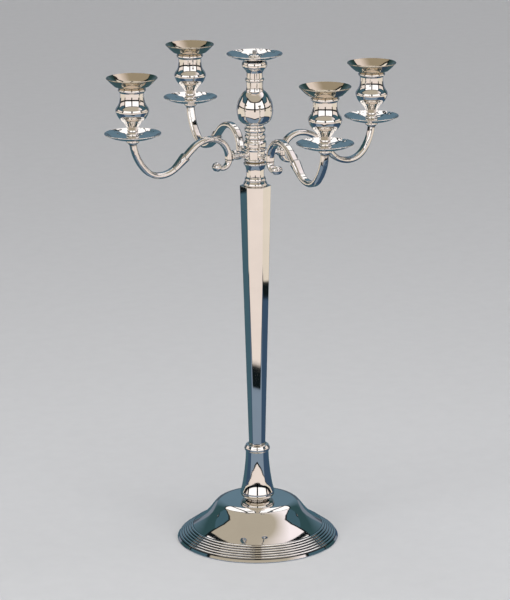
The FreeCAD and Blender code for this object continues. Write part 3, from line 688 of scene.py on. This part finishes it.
def plain_shape(travelled, total):
    """The scroll has one section from end to end."""
    return 1.0, 1.0, 0.0


def curl_shape(travelled, total):
    """The curl thins towards its knob."""
    share = travelled / total
    return 1.0 - CURL_THINNER * share, 1.0 - CURL_NARROWER * share, 0.0


def leaf_shape(travelled, total):
    """The leaf swells at once from its mouth and tapers down on to the arm."""
    share = travelled / total
    swell = min(1.0, LEAF_MOUTH + share * LEAF_SWELLING) * (1 - share) ** LEAF_TAPER
    lean = LEAF_POINT * (1 - share) ** LEAF_LEAN_TAPER
    return 1 + (LEAF_THICKER - 1) * swell, 1 + (LEAF_WIDER - 1) * swell, lean


def fluted_knob(name, angle, centre):
    """A shell-like bun whose flutes run from side to side across the arm."""
    radial, lateral = arm_axes(angle)
    middle = radial * centre.x + UP * centre.y
    around = KNOB_FLUTES * KNOB_FLUTE_SIDES
    rings = [[tuple((middle - lateral * KNOB_HALF_WIDTH) * MM)]]
    for step in range(1, KNOB_RINGS):
        slide = -math.cos(math.pi * step / KNOB_RINGS)
        swell = math.sqrt(1 - slide * slide) ** KNOB_ROUNDNESS
        ring = []
        for turn in range(around):
            bearing = 2 * math.pi * turn / around
            flute = 1 - KNOB_FLUTE_DEPTH * swell * (1 - abs(math.cos(bearing * KNOB_FLUTES / 2)))
            radius = KNOB_RADIUS * swell * flute
            place = middle + lateral * KNOB_HALF_WIDTH * slide
            place += (radial * math.cos(bearing) + UP * math.sin(bearing)) * radius
            ring.append(tuple(place * MM))
        rings.append(ring)
    rings.append([tuple((middle + lateral * KNOB_HALF_WIDTH) * MM)])
    return loft(name, rings)


def build_arm(side, degrees):
    """One cast arm: scroll, leaf, curl with its fluted knob, and the turned collar at the tip."""
    node = "arm_" + side
    angle = math.radians(degrees)
    cup_low, cup_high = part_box("cup_" + side)
    centre = (cup_low + cup_high) / 2
    reach = Vector((centre.x, centre.y)).length / MM
    tray_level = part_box("tray_" + side)[0].z / MM
    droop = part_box("tray_left")[0].z / MM - tray_level
    tip_level = tray_level - TIP_HEIGHT
    bar_low, bar_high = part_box("arm_bar_" + side)
    bar_level = (bar_low.z + bar_high.z) / 2 / MM
    outline, leaf_start = arm_outline(reach, tip_level, bar_level, droop)
    line = spaced(trace(outline), SCROLL_STEP)
    finish_piece(sweep(node + "_scroll", line, angle, plain_shape), node)
    near = min(range(len(line)), key=lambda index: (line[index] - leaf_start).length)
    leaf_line = spaced(line[near:near + round(LEAF_LENGTH / SCROLL_STEP)], LEAF_STEP)
    finish_piece(sweep(node + "_leaf", leaf_line, angle, leaf_shape), node, replace=False)
    curl_centre = Vector((BRACKET_REACH + CURL_RADIUS, bar_level - BRACKET_TAIL))
    end = curl_centre + Vector((math.cos(CURL_END), math.sin(CURL_END))) * CURL_RADIUS
    curl = [(BRACKET_REACH, bar_level + CURL_ABOVE_BAR), (BRACKET_REACH, curl_centre.y),
            (curl_centre.x, curl_centre.y - CURL_RADIUS, CURL_RADIUS), (end.x, end.y, CURL_RADIUS)]
    curl_line = spaced(trace(curl), CURL_STEP)
    finish_piece(sweep(node + "_curl", curl_line, angle, curl_shape), node, replace=False)
    knob = fluted_knob(node + "_knob", angle, end + KNOB_SHIFT)
    finish_piece(knob, node, replace=False)
    tip = lathe(node + "_tip", TIP, 128)
    tip.location = (centre.x, centre.y, tip_level * MM)
    finish_piece(tip, node, replace=False)


def build_bar(side, degrees):
    """A round bar with its end flange and screw end, laid along its arm."""
    node = "arm_bar_" + side
    low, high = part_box(node)
    face = BRACKET_REACH - ARM_THICK / 2 - BAR_START
    flange = BRACKET_REACH - ARM_THICK / 2 - BAR_FLANGE_THICK - BAR_START
    outline = [(0.0, 0.0), (BAR_RADIUS, 0.0), (BAR_RADIUS, flange - 1.2), (4.2, flange, -1.8),
               (BAR_FLANGE_RADIUS, face - 0.4, 1.6), (4.3, face), (BAR_SCREW_RADIUS, face),
               (BAR_SCREW_RADIUS, face + BAR_SCREW_LENGTH), (0.0, face + BAR_SCREW_LENGTH)]
    piece = lathe(node + "_turning", outline, 96)
    along = arm_axes(math.radians(degrees))[0]
    piece.rotation_mode = "QUATERNION"
    piece.rotation_quaternion = along.to_track_quat("Z", "Y")
    piece.location = along * BAR_START * MM + UP * (low.z + high.z) / 2
    finish_piece(piece, node)


# ---------------------------------------------------------------- object

turned("base_shell", FOOT, 288)
turned("stem_seat_ring", SEAT_RING, 128)
turned("stem_socket", SOCKET, 160)
build_shaft()
turned("stem_capital", CAPITAL)
turned("branch_spigot", SPIGOT)
turned("branch_hub", HUB)
turned("column_rings", RINGS)
turned("column_beads", BEADS)
turned("column_bulb", BULB, 176)
turned("column_neck", NECK)
turned("column_bowl", BOWL)
turned("centre_tray", TRAY, 192)
turned("centre_boss", BOSS)
turned("centre_rod", CENTRE_ROD, 64)
for arm_side, arm_degrees in ARMS.items():
    build_bar(arm_side, arm_degrees)
    build_arm(arm_side, arm_degrees)
    turned("tray_" + arm_side, TRAY, 192)
    turned("cup_collar_" + arm_side, COLLAR)
    turned("cup_" + arm_side, CUP, 160)
    turned("cup_screw_" + arm_side, SCREW, 64)
    turned("nozzle_" + arm_side, NOZZLE, 192)

for cad_name, cad_node in NODES.items():
    if not cad_node.hide_render:
        cad_node.data.materials.clear()
        cad_node.data.materials.append(MATERIALS[SLOT_OF[cad_name]])


# ---------------------------------------------------------------- studio

FRONT_ANGLE = math.radians(29.333)
FRONT = Vector((-math.sin(FRONT_ANGLE), -math.cos(FRONT_ANGLE), 0.0))
RIGHT = Vector((math.cos(FRONT_ANGLE), -math.sin(FRONT_ANGLE), 0.0))
PALE = (0.80, 0.82, 0.85)
BLACK = (0.006, 0.010, 0.012)
WHITE = (1.30, 1.28, 1.30)
CREAM = (0.90, 0.80, 0.75)
WARM_CREAM = (0.82, 0.74, 0.64)
SLATE = (0.22, 0.29, 0.38)
NAVY = (0.045, 0.085, 0.15)
TEAL = (0.060, 0.125, 0.165)
PALE_TEAL = (0.130, 0.215, 0.285)
DEEP_TEAL = (0.034, 0.080, 0.092)
GREY = (0.20, 0.24, 0.30)
KHAKI = (0.48, 0.43, 0.35)
LAVENDER = (1.10, 1.02, 1.07)
NONE = (0.0, 0.0, 0.0)
FULL = (1.0, 1.0, 1.0)

# Radii of the two floors in metres, and how far the mirrored one lies below the other.
FLOOR_RADIUS = 14.0
MIRROR_FLOOR = 4.0
MIRROR_DROP = 0.001
# How much farther out, in metres for each degree from the front, the front floor's bands reach.
FLOOR_POINT = 0.0062
# The walls' top in degrees, and how far above it the ceiling takes over.
WALL_TOP = 40.0
WALL_BLEND = 0.9
# The overhead soft box faces this way. A view that agrees with it past BOX_FRAME meets its black frame,
# and past BOX_PANELS its white panels.
BOX_WAY = UP - FRONT * 0.85
BOX_FRAME = 1.05
BOX_PANELS = 1.085
BOX_BLEND = 0.005


def bands(graph, value, low, high, stops, blend=0.004):
    """Flat bands of colour over a range: each stop is where its colour ends, and the last has no end."""
    scaled = graph.spread(value, low, high, 0.0, 1.0)
    marks = []
    for index, (end, colour) in enumerate(stops):
        if index:
            start = (stops[index - 1][0] - low) / (high - low)
            marks.append((min(1.0, start + blend), colour))
        else:
            marks.append((0.0, colour))
        if end is not None:
            marks.append(((end - low) / (high - low), colour))
    return graph.ramp(scaled, marks)


def part_along(graph, vector, direction):
    """How far a vector goes in a direction."""
    node = graph.add("VectorMath", operation="DOT_PRODUCT")
    graph.link(vector, node.inputs[0])
    node.inputs[1].default_value = direction
    return node.outputs["Value"]


def compass(graph, vector):
    """How far a direction is from the front, in degrees from -180 to 180, positive to the right."""
    turn = graph.math("ARCTAN2", part_along(graph, vector, RIGHT), part_along(graph, vector, FRONT))
    return graph.math("MULTIPLY", turn, 180 / math.pi)


def disc(name, radius, level):
    """A flat round sheet."""
    return loft(name, [circle(radius, level, FLOOR_SIDES), [(0.0, 0.0, level)]])


def pale_floor():
    """Matt and pale, with the faintest grain."""
    material, graph, shader, place = new_material("pale_floor")
    grain = graph.noise(place, scale=40.0, detail=4.0, roughness=0.6)
    colour = graph.mix(graph.spread(grain, 0.3, 0.7, 0.0, 1.0), (0.62, 0.64, 0.67), (0.64, 0.66, 0.69))
    graph.link(colour, shader.inputs["Base Color"])
    shader.inputs["Roughness"].default_value = 0.9
    return material


def mirrored_floor():
    """Rings of colour round the object, in a front, a left, a right and a back sector."""
    material = bpy.data.materials.new("mirrored_floor")
    material.use_nodes = True
    graph = Graph(material.node_tree)
    place = graph.add("TexCoord").outputs["Object"]
    length = graph.add("VectorMath", operation="LENGTH")
    graph.link(place, length.inputs[0])
    wander = graph.spread(graph.noise(place, scale=1.7, detail=2.0), 0.3, 0.7, -0.02, 0.02)
    reach = graph.math("ADD", length.outputs["Value"], wander)
    turn = compass(graph, place)
    span = graph.math("ABSOLUTE", turn)
    pointed = graph.math("SUBTRACT", reach, graph.math("MULTIPLY", span, FLOOR_POINT))
    front = bands(graph, pointed, 0.0, MIRROR_FLOOR, [(0.53, SLATE), (0.645, BLACK), (None, CREAM)])
    right = bands(graph, reach, 0.0, MIRROR_FLOOR, [(1.05, NAVY), (1.14, BLACK), (None, WARM_CREAM)])
    left = bands(graph, reach, 0.0, MIRROR_FLOOR, [(1.75, TEAL), (1.83, BLACK), (None, WARM_CREAM)])
    left = graph.mix(graph.spread(turn, -101.0, -99.0, 0.0, 1.0), left, right)
    behind = bands(graph, reach, 0.0, MIRROR_FLOOR, [(1.5, TEAL), (None, GREY)])
    sides = graph.mix(graph.spread(turn, -2.0, 2.0, 0.0, 1.0), left, right)
    near = graph.mix(graph.spread(span, 60.0, 64.0, 0.0, 1.0), front, sides)
    whole = graph.mix(graph.spread(span, 134.0, 140.0, 0.0, 1.0), near, behind)
    glow = graph.add("Emission")
    graph.link(whole, glow.inputs["Color"])
    output = graph.add("OutputMaterial")
    graph.link(glow.outputs[0], output.inputs["Surface"])
    return material


def build_floor():
    """A plain pale floor, and the darker studio floor that the polished metal mirrors instead of it."""
    floor = disc("floor", FLOOR_RADIUS, 0.0)
    floor.data.materials.append(pale_floor())
    floor.visible_glossy = False
    mirror = disc("mirrored_floor", MIRROR_FLOOR, -MIRROR_DROP)
    mirror.data.materials.append(mirrored_floor())
    mirror.visible_camera = False
    mirror.visible_diffuse = False
    mirror.visible_shadow = False


def studio_ceiling(graph, way):
    """A ceiling from khaki to lavender, with a soft box of white panels in a black frame."""
    brighter = part_along(graph, way, RIGHT * 0.6 - FRONT * 0.8)
    ceiling = graph.mix(graph.spread(brighter, 0.0, 0.45, 0.0, 1.0), KHAKI, LAVENDER)
    panels = bands(graph, part_along(graph, way, RIGHT), -1.0, 1.0,
                   [(-0.25, WHITE), (-0.20, BLACK), (-0.06, WHITE), (-0.03, BLACK), (0.20, WHITE),
                    (0.25, BLACK), (None, WHITE)])
    facing = part_along(graph, way, BOX_WAY)
    for start, colour in ((BOX_FRAME, BLACK), (BOX_PANELS, panels)):
        ceiling = graph.mix(graph.spread(facing, start, start + BOX_BLEND, 0.0, 1.0), ceiling, colour)
    return ceiling


def studio_walls(graph, rise, span):
    """White panels in front, cream sides and a teal back, by the degrees above level and from the front."""
    front = bands(graph, rise, -90.0, 90.0, [(-2.0, CREAM), (3.0, BLACK), (37.0, WHITE), (None, BLACK)])
    sides = bands(graph, rise, -90.0, 90.0, [(-2.0, WARM_CREAM), (3.0, BLACK), (22.0, CREAM),
                                             (24.0, BLACK), (38.0, TEAL), (None, BLACK)])
    teal = graph.mix(graph.spread(span, 138.0, 166.0, 0.0, 1.0), DEEP_TEAL, PALE_TEAL)
    back_shade = bands(graph, span, 0.0, 180.0,
                       [(139.0, (0.25,) * 3), (160.0, FULL), (None, (0.4,) * 3)], 0.01)
    low_back = graph.mix(1.0, GREY, back_shade, "MULTIPLY")
    back = graph.mix(graph.spread(rise, 8.0, 10.0, 1.0, 0.0), teal, low_back)
    back = graph.mix(graph.spread(rise, 37.5, 38.5, 0.0, 1.0), back, BLACK)
    is_side = bands(graph, span, 0.0, 180.0, [(66.0, NONE), (None, FULL)])
    is_back = bands(graph, span, 0.0, 180.0, [(118.0, NONE), (None, FULL)], 0.01)
    gaps = bands(graph, span, 0.0, 180.0, [(4.5, NONE), (62.0, FULL), (71.0, NONE), (None, FULL)])
    walls = graph.mix(1.0, graph.mix(is_side, front, sides), gaps, "MULTIPLY")
    return graph.mix(is_back, walls, back)


def build_world():
    """The studio that the metal mirrors. The camera itself sees a plain pale backdrop."""
    world = bpy.data.worlds.new("studio")
    world.use_nodes = True
    bpy.context.scene.world = world
    graph = Graph(world.node_tree)
    way = graph.add("TexCoord").outputs["Generated"]
    span = graph.math("ABSOLUTE", compass(graph, way))
    split = graph.add("SeparateXYZ")
    graph.link(way, split.inputs[0])
    rise = graph.math("MULTIPLY", graph.math("ARCSINE", split.outputs[2]), 180 / math.pi)
    over = graph.spread(rise, WALL_TOP, WALL_TOP + WALL_BLEND, 0.0, 1.0)
    room = graph.mix(over, studio_walls(graph, rise, span), studio_ceiling(graph, way))
    rays = graph.add("LightPath")
    seen = graph.mix(rays.outputs["Is Camera Ray"], room, PALE)
    background = graph.add("Background")
    background.inputs["Strength"].default_value = 1.0
    graph.link(seen, background.inputs["Color"])
    output = graph.add("OutputWorld")
    graph.link(background.outputs[0], output.inputs["Surface"])


def soft_light(name, place, target, size, power, colour):
    """An oblong light that faces a target. The metal doesn't mirror it."""
    data = bpy.data.lights.new(name, "AREA")
    data.shape = "RECTANGLE"
    data.size, data.size_y = size
    data.energy = power
    data.color = colour
    lamp = bpy.data.objects.new(name, data)
    lamp.location = place
    lamp.rotation_mode = "QUATERNION"
    lamp.rotation_quaternion = (Vector(target) - Vector(place)).to_track_quat("-Z", "Y")
    lamp.visible_glossy = False
    bpy.context.scene.collection.objects.link(lamp)
    return lamp


def build_lights():
    """Soft boxes overhead and to both sides of the front, for the floor and the matt parts."""
    middle = (0.0, 0.0, 0.3)
    white = (1.0, 0.98, 0.95)
    overhead = FRONT * 0.35 + UP * 2.3
    soft_light("overhead", overhead, middle, (1.0, 0.9), 15.0, white)
    for name, side in (("front_left", -1), ("front_right", 1)):
        place = FRONT * 1.6 + RIGHT * side * 1.9 + UP * 1.5
        soft_light(name, place, middle, (0.9, 1.3), 11.0, white)


def build_camera():
    """The view from the front, a little above, through a long lens."""
    distance = 3.2419
    height = 1.1817
    pitch = math.radians(15.163)
    yaw = math.radians(-0.024)
    roll = math.radians(-0.391)
    away = -FRONT
    forward = away * math.cos(pitch) - UP * math.sin(pitch)
    top = away * math.sin(pitch) + UP * math.cos(pitch)
    ahead = forward * math.cos(yaw) + RIGHT * math.sin(yaw)
    across = RIGHT * math.cos(yaw) - forward * math.sin(yaw)
    tilted = across * math.cos(roll) + top * math.sin(roll)
    upward = top * math.cos(roll) - across * math.sin(roll)
    data = bpy.data.cameras.new("camera")
    data.lens = 166.0
    data.sensor_width = 36.0
    data.clip_end = 60.0
    camera = bpy.data.objects.new("camera", data)
    turn = Matrix((tilted, upward, -ahead)).transposed().to_4x4()
    camera.matrix_world = Matrix.Translation(FRONT * distance + UP * height) @ turn
    bpy.context.scene.collection.objects.link(camera)
    bpy.context.scene.camera = camera


bpy.context.scene.view_settings.view_transform = "Standard"
build_floor()
build_world()
build_lights()
build_camera()
